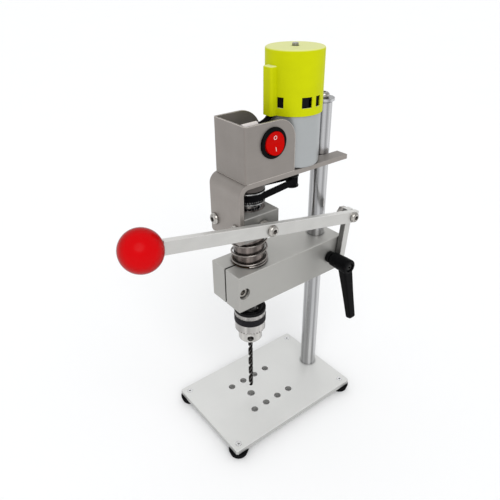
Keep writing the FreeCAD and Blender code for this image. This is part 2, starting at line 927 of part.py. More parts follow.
def grooves(radius, count, centre_y):
    """The tooth gaps of a pulley, as a ring of round cutters."""
    cutters = []
    length = d.pulley_high - d.pulley_low
    for step in range(count):
        angle = 2 * math.pi * step / count
        at = (radius * math.cos(angle), centre_y + radius * math.sin(angle), d.pulley_low)
        cutters.append(cylinder(0.55, length, at))
    return grouped(cutters)


def make_spindle_pulley():
    low, high = d.pulley_low, d.pulley_high
    bore = d.spindle_radius
    rim, flange, thick = d.big_pulley_radius, d.flange_radius, d.flange_thick
    outline = [
        (bore, d.block_high + 0.7),
        (9, d.block_high + 0.7),
        (9, low - thick),
        (flange, low - thick),
        (flange, low),
        (rim, low),
        (rim, high),
        (flange, high),
        (flange, high + thick),
        (bore, high + thick),
    ]
    blank = turned(outline, (0, d.spindle_place, 0),
                   rounds=[(3, 0.4), (8, 0.4)])
    teeth = grooves(rim, 40, d.spindle_place)
    screw_z = (low - thick + d.block_high + 0.7) / 2
    tapped = cylinder(1.55, 6, (3.5, d.spindle_place, screw_z), "x")
    node("spindle_pulley", cut(blank, [teeth, tapped]))
    grub = cylinder(1.5, 4.6, (d.spindle_radius + 0.02, d.spindle_place, screw_z), "x")
    node("spindle_pulley_screw", grub)


def make_motor_pulley():
    low, high = d.pulley_low, d.pulley_high
    bore, rim = d.shaft_radius, d.small_pulley_radius
    flange, thick = d.small_flange_radius, d.flange_thick
    outline = [
        (bore, low - thick),
        (flange, low - thick),
        (flange, low),
        (rim, low),
        (rim, high),
        (flange, high),
        (flange, high + 7),
        (bore, high + 7),
    ]
    blank = turned(outline, (0, motor_place(), 0), rounds=[(1, 0.3)])
    node("motor_pulley", cut(blank, [grooves(rim, 16, motor_place())]))


# --------------------------------------------------------------------- motor


def make_motor():
    y = motor_place()
    low = d.plate_high
    high = low + d.can_height
    outer, inner = d.can_radius, d.can_radius - d.can_wall
    step = d.boss_radius
    boss_low = low - 3.6
    outline = [
        (d.shaft_radius + 3, boss_low),
        (step, boss_low),
        (step, low),
        (outer, low),
        (outer, high),
        (inner, high),
        (inner, low + 2),
        (step - 1.5, low + 2),
        (step - 1.5, boss_low + 3.2),
        (d.shaft_radius + 3, boss_low + 3.2),
    ]
    can = turned(outline, (0, y, 0), rounds=[(3, 1.6)])
    taps = []
    for side in (-1, 1):
        at = (d.motor_screw_offset * side, y, low - 1)
        taps.append(cylinder(2 + d.thread_gap, 4, at))
    node("motor_can", cut(can, [fused(taps)]))
    screws = []
    for side in (-1, 1):
        at = (d.motor_screw_offset * side, y, low - d.sheet_thick)
        screws.append(button_screw(at, "-z", 2, 3.6, 2.1, 5.6, 2.5))
    node("motor_screws", grouped(screws))
    make_magnets(y, low, high, inner)
    make_rotor(y, low)
    return make_end_cap(y, high)


def make_magnets(y, low, high, inner):
    magnets = []
    tall = high - low - 8
    for side in (-1, 1):
        shell = ring(inner - 4.6, inner - 0.05, tall, (0, y, low + 4))
        keep = box((inner, inner * 1.5, tall + 2),
                   (inner / 2 * (side - 1) + 4 * side, y - inner * 0.75, low + 3))
        magnets.append(common(shell, keep))
    node("motor_magnets", grouped(magnets))


def make_end_cap(y, high):
    """The moulded brush end cap on the open end of the motor can, and its two tabs."""
    outer = d.can_radius - 0.35
    inner = d.can_radius - d.can_wall - 0.1
    top = high + d.end_cap_height
    outline = [
        (inner - 1.6, high - 3),
        (inner, high - 3),
        (inner, high + 0.05),
        (outer, high + 0.05),
        (outer, high + 12),
        (outer - 5, top - 2),
        (6, top - 2),
        (6, top),
        (d.shaft_radius + 0.3, top),
        (d.shaft_radius + 0.3, top - 5),
        (inner - 4, top - 5),
        (inner - 1.6, high + 10),
    ]
    cap = turned(outline, (0, y, 0))
    vents = []
    for angle in (0, 120, 240):
        spread = Rotation(Vector(0, 0, 1), angle)
        at = turned_point((0, y, high + 3), spread, (13, -4, 0))
        vents.append(box((12, 8, 6), at, spread))
    node("motor_end_cap", cut(cap, [fused(vents)]))
    tabs = []
    for side in (-1, 1):
        at = (11 * side - 0.4, y - 2.4, top - 2)
        tabs.append(box((0.8, 4.8, 8), at))
    return tabs


def make_rotor(y, low):
    """The shaft right through the motor, with its core on it."""
    outline = [
        (0, d.shaft_low),
        (d.shaft_radius - 0.4, d.shaft_low),
        (d.shaft_radius, d.shaft_low + 0.4),
        (d.shaft_radius, d.shaft_high - 0.4),
        (d.shaft_radius - 0.4, d.shaft_high),
        (0, d.shaft_high),
    ]
    node("motor_shaft", turned(outline, (0, y, 0)))
    core = turned(
        [
            (d.shaft_radius, low + 5),
            (9, low + 5),
            (13, low + 9),
            (15, low + 9),
            (15, low + 36),
            (13, low + 36),
            (7, low + 40),
            (7, low + 52),
            (d.shaft_radius, low + 52),
        ],
        (0, y, 0),
    )
    slots = []
    for step in range(5):
        spread = Rotation(Vector(0, 0, 1), 72 * step)
        at = turned_point((0, y, low + 8), spread, (12, -0.9, 0))
        slots.append(box((4, 1.8, 29), at, spread))
    node("armature", cut(core, [fused(slots)]))


def make_cover():
    """The moulded cover on the motor, with its windows and the lead duct."""
    y = motor_place()
    low, high = d.cover_low, d.cover_high
    outer, inner = d.cover_radius, d.cover_radius - d.cover_wall
    roof = 2.4
    outline = [
        (inner, low),
        (outer, low),
        (outer, high),
        (d.shaft_radius + 0.6, high),
        (d.shaft_radius + 0.6, high - roof),
        (inner, high - roof),
    ]
    shell = turned(outline, (0, y, 0), rounds=[(2, 1.6)])
    half = d.duct_width / 2
    depth = y - d.duct_front - inner + 1.6
    duct_outline = rectangle(-half, d.duct_front, half, d.duct_front + depth)
    corners = [(0, 2), (1, 2)]
    duct = extruded(duct_outline, d.duct_high - low, (0, 0, low), corners=corners)
    top_edge = d.duct_high.value - low.value

    def front_top(edge):
        box_of = edge.BoundBox
        flat = abs(box_of.ZMin - top_edge) < 1e-4
        return flat and box_of.YMax < d.duct_front.value + 2.2

    soften(duct, 1.2, front_top)
    inside = cylinder(inner, high - low - roof, (0, y, low))
    channel = box((d.duct_width - 2.6, depth + 1, d.duct_high - low - 1.4),
                  (-half + 1.3, d.duct_front + 1.3, low - 0.01))
    tools = [channel, inside] + cover_windows(y, outer)
    node("motor_cover", cut(fused([shell, duct]), [fused(tools)]))


def cover_windows(y, outer):
    """Three square windows on one side and the same three opposite."""
    cutters = []
    tall = d.window_high - d.window_low
    for centre, width in ((-69, 5.8), (-16, 8.7), (11.5, 5.6)):
        for half_turn in (0, 180):
            spread = Rotation(Vector(0, 0, 1), centre + half_turn)
            at = turned_point((0, y, d.window_low), spread, (15, -width / 2, 0))
            cutters.append(box((outer, width, tall), at, spread))
    return cutters


# ------------------------------------------------------- switch and its housing


def make_housing():
    half, wall = d.housing_width / 2, d.housing_wall
    low, high = d.plate_high, d.housing_high
    front, rear = d.housing_front, d.housing_rear
    bend = d.housing_bend
    blank = extruded(rectangle(-half, front, half, rear), high - low, (0, 0, low),
                     corners=[(0, bend), (1, bend)])
    room = rectangle(-half + wall, front + wall, half - wall, rear + 1)
    hollow = extruded(room, high - low, (0, 0, low + wall),
                      corners=[(0, bend - wall), (1, bend - wall)])
    floor_depth = 40
    floor_cut = box((d.housing_width - 2 * wall, 14, wall + 2),
                    (-half + wall, front + floor_depth, low - 1))
    barrel = cylinder(d.barrel_radius + 0.05, 8, (half - 4, d.switch_y, d.switch_z), "x")
    tools = [hollow, floor_cut, barrel]
    for side in (-1, 1):
        tools.append(cylinder(1.55, 4, (9 * side, housing_screw_y(), low - 1)))
    shell = cut(blank, [fused(tools)])
    corners = [
        wall_round(half - wall, d.housing_rear, d.housing_round),
        wall_round(-half, d.housing_far_rear, d.housing_far_round),
    ]
    node("switch_housing", cut(shell, corners))
    screws = []
    for side in (-1, 1):
        at = (9 * side, housing_screw_y(), low + wall)
        screws.append(button_screw(at, "z", 1.5, 2.8, 1.6, 5, 2))
    node("housing_screws", grouped(screws))


def wall_round(start_x, rear, radius):
    """A cutter that ends one side wall at its rear edge with a rounded top corner."""
    low, high = d.plate_high - 1, d.housing_high
    x = start_x - 0.5
    width = d.housing_wall + 1
    beyond = box((width, 8, high - low + 1), (x, rear, low))
    corner = box((width, radius + 1, radius + 1), (x, rear - radius, high - radius))
    rod = cylinder(radius, width + 1, (x - 0.5, rear - radius, high - radius), "x")
    return fused([beyond, cut(corner, [rod])])


def make_switch():
    face = d.housing_width / 2
    at = (face, d.switch_y, d.switch_z)
    recess = d.rocker_radius + 0.45
    outline = [
        (0, -15),
        (d.barrel_radius, -15),
        (d.barrel_radius, 0),
        (d.bezel_radius, 0),
        (d.bezel_radius, d.bezel_thick),
        (recess, d.bezel_thick),
        (recess, -3),
        (0, -3),
    ]
    body = turned(outline, at, "x", rounds=[(4, 1.1), (5, 0.3)])
    node("switch_body", body)
    make_rocker(face)
    tabs = []
    for side in (-1, 1):
        spot = (face - 22, d.switch_y - 2.4, d.switch_z + d.tab_rise * side - 0.4)
        tabs.append(box((7, 4.8, 0.8), spot))
    return tabs


def make_rocker(face):
    """The rocker: two flat halves that meet in a shallow valley over its axis."""
    tilt = d.rocker_tilt.value
    slope = math.tan(math.radians(tilt))
    radius = d.rocker_radius
    axis_x = face + d.bezel_thick - d.rocker_axis_depth
    back = -1.9
    valley = 1.9
    reach = 12
    outline = [
        (back, -reach),
        (valley + slope * reach, -reach),
        (valley, 0),
        (valley + slope * reach, reach),
        (back, reach),
    ]
    lean = Rotation(Vector(0, 1, 0), -tilt)
    upright = Rotation(Vector(1, 0, 0), 90)
    at = (axis_x, d.switch_y, d.switch_z)
    wedge_at = turned_point(at, lean, (0, 12, 0))
    wedge = extruded(outline, 24, wedge_at, lean.multiply(upright))
    disc_at = turned_point(at, lean, (-3, 0, 0))
    disc = cylinder(radius, 9, disc_at, lean.multiply(TURNS["x"]))
    node("switch_rocker", common(wedge, disc))
    make_marks(at, lean, valley, slope)


def make_marks(at, lean, valley, slope):
    """The O on the upper half and the I on the lower half, standing just proud."""
    angle = math.degrees(math.atan(slope))
    lift = 0.02
    marks = []
    for side in (1, -1):
        height = 4.4 * side
        front = valley + slope * abs(height) + lift
        face_turn = lean.multiply(Rotation(Vector(0, 1, 0), angle * side))
        spot = turned_point(at, lean, (front, 0, height))
        if side > 0:
            marks.append(ring(1.2, 1.55, 0.12, spot, face_turn.multiply(TURNS["x"])))
        else:
            corner = turned_point(spot, face_turn, (0, -0.19, -1.5))
            marks.append(box((0.12, 0.38, 3), corner, face_turn))
    node("rocker_marks", grouped(marks))


def lead_shape(points, radius):
    """A lead along straight runs joined by arcs as large as the runs allow."""
    points = [Vector(*point) for point in points]
    edges = []
    start = points[0]
    for before, corner, after in zip(points, points[1:], points[2:]):
        into = (corner - before)
        out = (after - corner)
        turn = into.getAngle(out)
        reach = 0.45 * min(into.Length, out.Length)
        into.normalize()
        out.normalize()
        enter = corner - into * reach
        leave = corner + out * reach
        bend = reach / math.tan(turn / 2)
        toward_centre = (out - into).normalize()
        centre = corner + toward_centre * math.hypot(bend, reach)
        middle = centre - toward_centre * bend
        edges.append(Part.LineSegment(start, enter).toShape())
        edges.append(Part.Arc(enter, middle, leave).toShape())
        start = leave
    edges.append(Part.LineSegment(start, points[-1]).toShape())
    spine = Part.Wire(edges)
    first = (points[1] - points[0]).normalize()
    section = Part.Wire([Part.makeCircle(radius, points[0], first)])
    tube = spine.makePipeShell([section], True, False)
    expected = math.pi * radius ** 2 * spine.Length
    if abs(tube.Volume - expected) > 0.03 * expected:
        raise ValueError("a lead's volume does not match its length")
    return tube


def make_leads():
    """Two leads from the motor's terminals down the duct to the switch."""
    y = d.duct_front.value + 3.6
    top = d.plate_high.value + d.can_height.value + d.end_cap_height.value + 3.5
    mouth = d.cover_low.value - 2
    upper = d.switch_z.value + d.tab_rise.value
    lower = d.switch_z.value - d.tab_rise.value
    tab_x = d.housing_width.value / 2 - 22.8
    rear = d.switch_y.value
    terminal_y = motor_place().value - 3.2
    sleeve_start = Vector(-3, -4, 282.2)
    sleeve_end = Vector(-3.5, -27, 281.7)
    routes = []
    for side in (-1, 1):
        routes.append([(11 * side, terminal_y, top), (2 * side, 10, top),
                       (1.7 * side, y, top), (1.7 * side, y, mouth)])
    routes[0] += [sleeve_start, sleeve_end, (-8, -31, 274.5), (-12, -24, 266),
                  (-9, -14, lower), (tab_x, rear, lower)]
    routes[1] += [(-2, -1.5, 281), (-8, -4, 276.5), (-9.5, -9, upper), (tab_x, rear, upper)]
    radius = 1.35
    node("motor_leads", grouped([shaped(lead_shape(route, radius)) for route in routes]))
    span = sleeve_end - sleeve_start
    step = Vector(span).normalize()
    start = sleeve_start + step * 4
    length = span.Length - 8.5
    outer = Part.makeCylinder(2.7, length, start, step)
    inner = Part.makeCylinder(radius + 0.03, length, start, step)
    node("lead_sleeve", shaped(outer.cut(inner)))


# ------------------------------------------------------------- lever and link


def lever_turn():
    return Rotation(Vector(1, 0, 0), -d.lever_tilt.value)


def along_lever(distance, x=0):
    """A point on the lever's centre line, measured rearwards from its pivot."""
    return turned_point((x, d.pivot_y, d.pivot_z), lever_turn(), (0, distance, 0))


def make_lever():
    half = d.lever_height / 2
    front, back = -d.lever_reach, d.lever_back + d.lever_overhang
    outline = rectangle(front, -half, back, half)
    holes = [(0, 0, 3 + d.fit_gap), (d.lever_back, 0, 3 + 0.02)]
    at = (d.lever_inner, d.pivot_y, d.pivot_z)
    turn = lever_turn().multiply(TURNS["side"])
    bar = extruded(outline, d.lever_thick, at, turn, holes=holes,
                   corners=[(1, 1), (2, 1)])
    soften(bar, 0.4, lambda edge: isinstance(edge.Curve, Part.Line)
           and edge.BoundBox.XLength > 50, "Chamfer")
    middle = d.lever_inner + d.lever_thick / 2
    stud = cylinder(2, 9, along_lever(-d.lever_reach - 9, middle),
                    lever_turn().multiply(TURNS["y"]))
    node("lever_bar", fused([bar, stud]))
    ball = doc.addObject("Part::Sphere", "ball")
    bind(ball, "Radius", d.knob_radius)
    place(ball, along_lever(-d.knob_place, middle))
    flat = box((20, 20, 20), turned_point(along_lever(-d.lever_reach - 0.05, middle),
                                          lever_turn(), (-10, 0, -10)), lever_turn())
    socket = cylinder(2.05, 10, along_lever(-d.lever_reach - 10, middle),
                      lever_turn().multiply(TURNS["y"]))
    node("ball_knob", cut(ball, [flat, socket]))
    make_lever_bolts()


def make_lever_bolts():
    face = d.arm_width / 2
    outer = d.lever_inner + d.lever_thick
    spacer = ring(3.1, 5, d.lever_inner - face - 0.15, (face, d.pivot_y, d.pivot_z), "x",
                  rounds=[(1, 0.3)])
    node("lever_spacer", spacer)
    pivot = button_screw((outer + 0.1, d.pivot_y, d.pivot_z), "x", head_radius=4.9,
                         length=17.5)
    node("lever_pivot_screw", pivot)
    rear_at = along_lever(d.lever_back, outer)
    node("link_bolt", button_screw(rear_at, "x", head_radius=4.9, length=17))
    flat_up = Rotation(Vector(1, 0, 0), 20).multiply(TURNS["x"])
    nut = cut(prism(10, 5, along_lever(d.lever_back, 15.4), flat_up),
              [cylinder(3 + 0.02, 7, along_lever(d.lever_back, 14), "x")])
    node("link_nut", nut)


def make_link():
    half = d.link_width / 2
    turn = Rotation(Vector(1, 0, 0), -d.link_tilt.value).multiply(TURNS["side"])
    outline = rectangle(-half, -4.2, half, d.link_length + 5.8)
    holes = [(0, 0, 2.5 + d.fit_gap)]
    at = (d.link_inner, d.link_foot_y, d.link_foot_z)
    bar = extruded(outline, d.link_thick, at, turn, holes=holes,
                   corners=[(0, 3), (1, 3)])
    soften(bar, 0.3, lambda edge: isinstance(edge.Curve, Part.Line)
           and edge.BoundBox.YLength > 40, "Chamfer")
    eye = cylinder(d.link_hole, 10, along_lever(d.lever_back, d.link_inner - 2), "x")
    node("link_bar", cut(bar, [eye]))


# ------------------------------------------------------- spindle, chuck, drill


def make_spindle():
    low = d.chuck_high - 11.4
    collar_low = d.top_ring_high + 5.6
    outline = [
        (0, low),
        (4.7, low),
        (5.05, d.chuck_high + 2.4),
        (6, d.chuck_high + 2.4),
        (6, collar_low),
        (5.6, collar_low),
        (5.6, d.quill_low + 0.95),
        (d.spindle_radius - 0.02, d.quill_low + 0.95),
        (d.spindle_radius - 0.02, d.plate_high - d.sheet_thick + 1),
        (0, d.plate_high - d.sheet_thick + 1),
    ]
    node("spindle", turned(outline, (0, d.spindle_place, 0)))
    nut = prism(16, 5, (0, d.spindle_place, d.top_ring_high + 0.5))
    bore = cylinder(6.05, 7, (0, d.spindle_place, d.top_ring_high - 0.5))
    node("spindle_nut", cut(nut, [bore]))


def jaw_turn(index):
    spin = Rotation(Vector(0, 0, 1), 24 + 120 * index)
    return spin.multiply(Rotation(Vector(0, 1, 0), d.jaw_tilt.value))


def jaw_start(index, back=0):
    """The centre of a jaw's lower end, moved back along the jaw by a distance."""
    spin = Rotation(Vector(0, 0, 1), 24 + 120 * index)
    foot = (0, d.spindle_place, d.chuck_low - 1)
    start = turned_point(foot, spin, (d.drill_radius.value + 2.05, 0, 0))
    return turned_point(start, jaw_turn(index), (0, 0, -back))


def make_chuck():
    y = d.spindle_place
    low, high = d.chuck_low, d.chuck_high
    nose = d.nose_radius
    outline = [
        (3.2, low),
        (nose - 2.2, low),
        (nose, low + 2.2),
        (nose, high),
        (5.05, high),
        (4.72, high - 11.4),
        (3.2, high - 11.4),
    ]
    core = turned(outline, (0, y, 0), rounds=[(2, 1.2)])
    tools = []
    for index in range(3):
        bore_length = d.jaw_length + 12
        tools.append(cylinder(d.jaw_radius + d.fit_gap, bore_length, jaw_start(index, 4),
                              jaw_turn(index)))
        spread = Rotation(Vector(0, 0, 1), -36 + 120 * index)
        at = turned_point((0, y, d.key_hole_height), spread, (6.6, 0, 0))
        tools.append(cylinder(d.key_hole_radius, 8, at, spread.multiply(TURNS["x"])))
    node("chuck_body", cut(core, [fused(tools)]))
    make_jaws(y)
    make_sleeve(y)
    top = d.top_ring_high
    outline = [
        (d.ring_bore, high + 0.02),
        (d.grip_radius, high + 0.02),
        (d.grip_radius, top),
        (12.4, top),
        (10.6, top - 1.2),
        (d.ring_bore, top - 1.2),
    ]
    node("chuck_top_ring", turned(outline, (0, y, 0), rounds=[(2, 0.7), (1, 0.4)]))


def make_jaws(y):
    for index in range(3):
        blank = cylinder(d.jaw_radius, d.jaw_length, jaw_start(index), jaw_turn(index))
        drill = cylinder(d.drill_radius + 0.02, 40, (0, y, d.chuck_low - 5))
        face = cylinder(12, 30, (0, y, d.chuck_low - 0.4))
        node("chuck_jaw_{}".format(index + 1), common(cut(blank, [drill]), face))


def make_sleeve(y):
    low, high = d.sleeve_low, d.chuck_high
    inner, outer = d.nose_radius + d.fit_gap, d.sleeve_radius
    groove = outer - 1.4
    outline = [
        (inner, low),
        (12.6, low),
        (outer, low + 2.2),
        (outer, d.grip_low),
        (groove, d.grip_low),
        (groove, d.grip_high),
        (outer, d.grip_high),
        (outer, high - 0.1),
        (inner, high - 0.1),
    ]
    blank = turned(outline, (0, y, 0), rounds=[(7, 0.4)])
    teeth = []
    for step in range(int(d.sleeve_teeth.value)):
        spread = Rotation(Vector(0, 0, 1), 360 / d.sleeve_teeth.value * step)
        lean = spread.multiply(Rotation(Vector(0, 1, 0), 42))
        at = turned_point((0, y, low), spread, (11.2, 0, -1.4))
        teeth.append(cylinder(d.sleeve_notch, 6.5, at, lean))
    node("chuck_sleeve", cut(blank, [grouped(teeth)]))
    grip = ring(groove + 0.02, d.grip_radius, d.grip_high - d.grip_low - 0.04,
                (0, y, d.grip_low + 0.02), rounds=[(1, 0.4), (2, 0.4)])
    node("chuck_grip_ring", grip)


def flute_face(height):
    """The section of the fluted part: a disc less two round flutes."""
    radius = d.drill_radius.value
    disc = Part.Face(Part.Wire([Part.makeCircle(radius, Vector(0, 0, height))]))
    for side in (-1, 1):
        spot = Vector(radius * 1.06 * side, radius * 0.35 * side, height)
        disc = disc.cut(Part.Face(Part.Wire([Part.makeCircle(radius * 0.74, spot)])))
    return disc


def make_drill():
    """A twist drill: two helical flutes, a plain shank and a pointed tip."""
    radius = d.drill_radius.value
    low = d.drill_tip.value
    flutes = d.flute_length.value
    section = flute_face(0).Faces[0].OuterWire
    spine = Part.Wire([Part.LineSegment(Vector(0, 0, 0), Vector(0, 0, flutes)).toShape()])
    guide = Part.makeHelix(d.flute_lead.value, flutes, radius * 3)
    sweep = Part.BRepOffsetAPI.MakePipeShell(spine)
    sweep.setAuxiliarySpine(Part.Wire(guide.Edges), True, False)
    sweep.add(section)
    sweep.build()
    sweep.makeSolid()
    body = sweep.shape()
    tip = radius / math.tan(math.radians(59))
    point = Part.makeCone(0, radius * 4, tip * 4, Vector(0, 0, 0))
    body = body.common(point.fuse(Part.makeCylinder(radius * 4, flutes, Vector(0, 0, tip * 4))))
    overlap = 0.5
    shank_length = d.drill_length.value - flutes + overlap
    shank = Part.makeCylinder(radius, shank_length, Vector(0, 0, flutes - overlap))
    drill = shaped(body.fuse(shank))
    drill.Placement = Placement(Vector(0, d.spindle_place.value, low), Rotation())
    node("drill_bit", drill)


# ----------------------------------------------------------------------- build


def check_and_write():
    doc.recompute()
    faults = []
    for thing in doc.Objects:
        if "Invalid" in thing.State or "Error" in thing.State:
            faults.append("{} {}".format(thing.Name, thing.State))
    for name, thing in nodes.items():
        if thing.Shape.isNull() or not thing.Shape.isValid():
            faults.append("{} has a bad shape".format(name))
        elif not thing.Shape.Solids:
            faults.append("{} has no solid".format(name))
    if faults:
        raise RuntimeError("; ".join(faults))
    os.makedirs("parts", exist_ok=True)
    for name, thing in nodes.items():
        thing.Shape.exportStep("parts/{}.step".format(name))
    print("wrote {} parts".format(len(nodes)))


make_base_plate()
make_feet()
make_column()
make_arm_block()
make_bushing()
make_spring()
make_link_screw()
make_clamp_handle()
make_quill()
make_quill_block()
make_bracket()
make_collar()
make_bearings()
make_belt()
make_spindle_pulley()
make_motor_pulley()
motor_tabs = make_motor()
make_cover()
make_housing()
switch_tabs = make_switch()
node("lead_terminals", grouped(motor_tabs + switch_tabs))
make_leads()
make_lever()
make_link()
make_spindle()
make_chuck()
make_drill()
check_and_write()
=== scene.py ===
import math

import bpy
from mathutils import Matrix, Vector


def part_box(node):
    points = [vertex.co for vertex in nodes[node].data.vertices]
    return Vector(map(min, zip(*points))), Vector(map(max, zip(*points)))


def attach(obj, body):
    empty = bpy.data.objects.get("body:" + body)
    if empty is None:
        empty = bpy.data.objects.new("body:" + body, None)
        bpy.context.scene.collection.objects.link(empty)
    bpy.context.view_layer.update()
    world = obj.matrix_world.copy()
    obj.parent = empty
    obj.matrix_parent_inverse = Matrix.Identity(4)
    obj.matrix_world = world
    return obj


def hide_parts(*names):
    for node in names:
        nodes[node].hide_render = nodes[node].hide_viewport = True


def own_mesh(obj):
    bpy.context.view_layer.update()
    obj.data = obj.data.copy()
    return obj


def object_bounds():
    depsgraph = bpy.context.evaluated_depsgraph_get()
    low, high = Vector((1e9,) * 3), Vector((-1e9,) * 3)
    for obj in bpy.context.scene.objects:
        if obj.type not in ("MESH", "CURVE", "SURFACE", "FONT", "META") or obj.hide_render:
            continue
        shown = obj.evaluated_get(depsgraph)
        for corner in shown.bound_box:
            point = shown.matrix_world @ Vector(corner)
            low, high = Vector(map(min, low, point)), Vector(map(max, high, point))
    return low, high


# Looks of the bench drill press: a material for every CAD node, a copy of the return spring on the
# arm, the floor, the light and the camera.
# Metres, in the CAD frame: +Z up, the operator at -Y, the hand lever on the +X side.

MM = 0.001
SENSOR_WIDTH = 36.0
FOCAL_SHARE = 1.0165
FLOOR_HALF = 60.0
LIT_STRENGTH = 0.80
SEEN_STRENGTH = 1.05
KNURL_RADIUS = 14.0

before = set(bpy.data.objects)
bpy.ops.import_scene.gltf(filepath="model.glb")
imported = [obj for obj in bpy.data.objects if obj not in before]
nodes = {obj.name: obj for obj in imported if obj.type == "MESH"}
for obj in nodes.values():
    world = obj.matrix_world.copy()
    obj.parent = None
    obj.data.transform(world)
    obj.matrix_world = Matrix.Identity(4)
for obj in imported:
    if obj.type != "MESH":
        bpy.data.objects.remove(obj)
cad_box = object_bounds()


# ---------------------------------------------------------------- material graph


class Graph:
    """A material's node tree, with short calls for the nodes that the finishes share."""

    def __init__(self, name):
        self.material = bpy.data.materials.new(name)
        self.material.use_nodes = True
        self.tree = self.material.node_tree
        self.shader = self.tree.nodes["Principled BSDF"]
        coordinates = self.add("ShaderNodeTexCoord")
        self.place = coordinates.outputs["Object"]
        self.facing = coordinates.outputs["Normal"]

    def add(self, kind, **settings):
        """A new node with its own settings."""
        node = self.tree.nodes.new(kind)
        for name, value in settings.items():
            setattr(node, name, value)
        return node

    def link(self, source, target):
        """Joins one node's output to another's input."""
        self.tree.links.new(source, target)

    def fill(self, node, **values):
        """Sets a node's inputs by name, each from a number, a colour or a socket."""
        for name, value in values.items():
            socket = node.inputs[name.replace("_", " ")]
            if isinstance(value, bpy.types.NodeSocket):
                self.link(value, socket)
            else:
                socket.default_value = value

    def stretched(self, scale, centre=(0, 0, 0)):
        """Object coordinates in millimetres about a centre, scaled along each axis."""
        mapping = self.add("ShaderNodeMapping", vector_type="POINT")
        self.fill(
            mapping,
            Vector=self.place,
            Scale=[part / MM for part in scale],
            Location=[-c * part / MM for c, part in zip(centre, scale)],
        )
        return mapping.outputs["Vector"]

    def noise(self, scale, detail=3.0, roughness=0.55, distortion=0.0, seed=0.0):
        """Noise with its size set by a scale per millimetre along each axis."""
        texture = self.add("ShaderNodeTexNoise", noise_dimensions="4D")
        self.fill(
            texture,
            Vector=self.stretched(scale),
            Scale=1.0,
            Detail=detail,
            Roughness=roughness,
            Distortion=distortion,
            W=seed,
        )
        return texture.outputs["Fac"]

    def ranged(self, source, low, high, from_low=0.3, from_high=0.7):
        """A value carried from one range to another and held there."""
        node = self.add("ShaderNodeMapRange")
        self.fill(node, Value=source)
        node.inputs["From Min"].default_value = from_low
        node.inputs["From Max"].default_value = from_high
        node.inputs["To Min"].default_value = low
        node.inputs["To Max"].default_value = high
        return node.outputs["Result"]

    def maths(self, operation, first, second=0.0):
        """One sum on two values, each a number or a socket."""
        node = self.add("ShaderNodeMath", operation=operation)
        for socket, value in zip(node.inputs, (first, second)):
            if isinstance(value, bpy.types.NodeSocket):
                self.link(value, socket)
            else:
                socket.default_value = value
        return node.outputs["Value"]

    def blended(self, factor, first, second):
        """The first colour where the factor is nought and the second where it is one."""
        node = self.add("ShaderNodeMix", data_type="RGBA")
        colours = [socket for socket in node.inputs if socket.type == "RGBA"]
        self.link(factor, node.inputs["Factor"])
        for socket, value in zip(colours, (first, second)):
            if isinstance(value, bpy.types.NodeSocket):
                self.link(value, socket)
            else:
                socket.default_value = (*value, 1.0)
        return [out for out in node.outputs if out.type == "RGBA"][0]

    def tinted(self, colour, share):
        """A colour socket made darker by a share."""
        node = self.add("ShaderNodeVectorMath", operation="SCALE")
        self.link(colour, node.inputs[0])
        self.fill(node, Scale=share)
        return node.outputs["Vector"]

    def bumped(self, height, depth_mm, strength=1.0, below=None):
        """A bump from a height of nought to one, that many millimetres deep."""
        node = self.add("ShaderNodeBump")
        self.fill(node, Height=height, Strength=strength, Distance=depth_mm * MM)
        if below is not None:
            self.link(below, node.inputs["Normal"])
        return node.outputs["Normal"]

    def eased(self, radius_mm):
        """A normal that runs softly over every edge, as a small radius would."""
        bevel = self.add("ShaderNodeBevel", samples=6)
        self.fill(bevel, Radius=radius_mm * MM)
        return bevel.outputs["Normal"]

    def edges(self, radius_mm):
        """One along every edge and nought on flats, for worn edges, cut edges and painted edge
        highlights.
        """
        across = self.add("ShaderNodeVectorMath", operation="DOT_PRODUCT")
        self.link(self.eased(radius_mm), across.inputs[0])
        self.link(self.add("ShaderNodeNewGeometry").outputs["Normal"], across.inputs[1])
        return self.ranged(across.outputs["Value"], 1, 0, 0.86, 0.97)

    def recess_shade(self, reach_mm, darkest=0.0, open_at=0.85):
        """A mask for painted shade: darkest deep in sockets and narrow gaps, rising to one in the
        open.
        """
        shelter = self.add("ShaderNodeAmbientOcclusion", samples=8)
        self.fill(shelter, Distance=reach_mm * MM)
        return self.ranged(shelter.outputs["AO"], darkest, 1, 0.25, open_at)

    def upward(self):
        """One on faces that look up and nought on upright faces and undersides."""
        split = self.add("ShaderNodeSeparateXYZ")
        self.link(self.facing, split.inputs["Vector"])
        return self.ranged(split.outputs["Z"], 0, 1, 0.3, 0.9)

    def glancing(self, amount):
        """Rises to an amount where a surface turns away from the eye."""
        weight = self.add("ShaderNodeLayerWeight")
        self.fill(weight, Blend=0.35)
        return self.ranged(weight.outputs["Facing"], 0, amount, 0.2, 0.9)

    def painted_reflection_strips(self, seed):
        """Painted reflections: upright light and dark strips set by the direction a face looks in,
        as a studio would show in a polished surface.
        """
        mapping = self.add("ShaderNodeMapping", vector_type="POINT")
        self.fill(mapping, Vector=self.facing, Scale=(2.4, 2.4, 0.25))
        texture = self.add("ShaderNodeTexNoise", noise_dimensions="4D")
        self.fill(texture, Vector=mapping.outputs["Vector"], Scale=1.0, Detail=2.0, W=seed)
        return self.ranged(texture.outputs["Fac"], 0, 1, 0.36, 0.60)


def shade(colour, share):
    """A colour made lighter or darker by a share."""
    return tuple(part * share for part in colour)


def drawn_along(axis, across, lengthways):
    """A noise scale whose grain is drawn out along one axis, x, y or z."""
    scale = [across] * 3
    scale["xyz".index(axis)] = lengthways
    return scale


# --------------------------------------------------------------------- finishes


